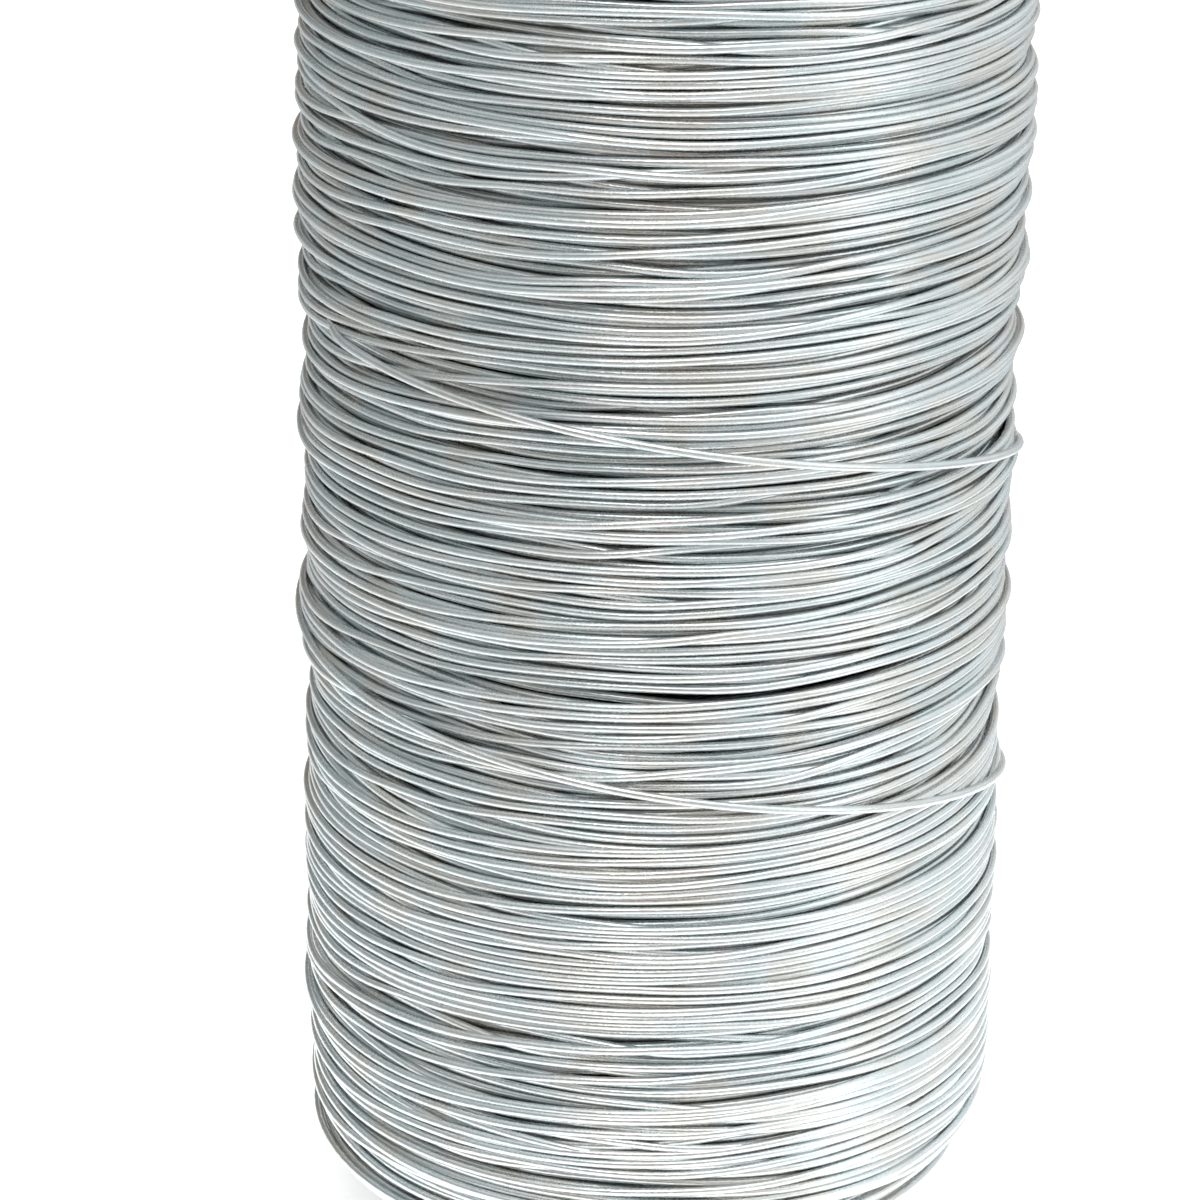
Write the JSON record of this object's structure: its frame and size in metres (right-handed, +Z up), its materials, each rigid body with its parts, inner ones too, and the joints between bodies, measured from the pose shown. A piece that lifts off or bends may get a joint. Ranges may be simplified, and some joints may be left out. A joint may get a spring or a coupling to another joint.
{
  "type": "wire spool",
  "caption": "Tall cylindrical spool of galvanised steel wire, wound in slightly crossing turns over a fibre barrel between two ribbed flanges with a spindle bore.",
  "frame": {"origin": "middle of the underside of the lower flange, on the spindle axis", "axes": "+Z up the spindle axis, from the lower flange to the upper one; -Y is the side that the loose strand crosses at its first height"},
  "size_m": [0.1231, 0.1232, 0.272],
  "materials": {
    "galvanised_wire": "bright galvanised, drawn",
    "flange_plastic": "moulded, fine texture",
    "barrel_fibre": "spirally wound fibre board",
    "bush_steel": "turned",
    "fastener_zinc": "zinc plated"
  },
  "bodies": {
    "root": {"barrel_tube": "barrel_fibre", "lower_flange": "flange_plastic", "upper_flange": "flange_plastic", "lower_bush": "bush_steel", "upper_bush": "bush_steel", "tie_bolt_1": "fastener_zinc", "tie_bolt_2": "fastener_zinc", "tie_bolt_3": "fastener_zinc", "head_washer_1": "fastener_zinc", "head_washer_2": "fastener_zinc", "head_washer_3": "fastener_zinc", "nut_washer_1": "fastener_zinc", "nut_washer_2": "fastener_zinc", "nut_washer_3": "fastener_zinc", "bolt_nut_1": "fastener_zinc", "bolt_nut_2": "fastener_zinc", "bolt_nut_3": "fastener_zinc", "wire_inner_layers": "galvanised_wire", "wire_outer_layers": "galvanised_wire", "loose_strand": "galvanised_wire", "wire_start_end": "galvanised_wire", "wire_tail_end": "galvanised_wire"}
  },
  "joints": []
}
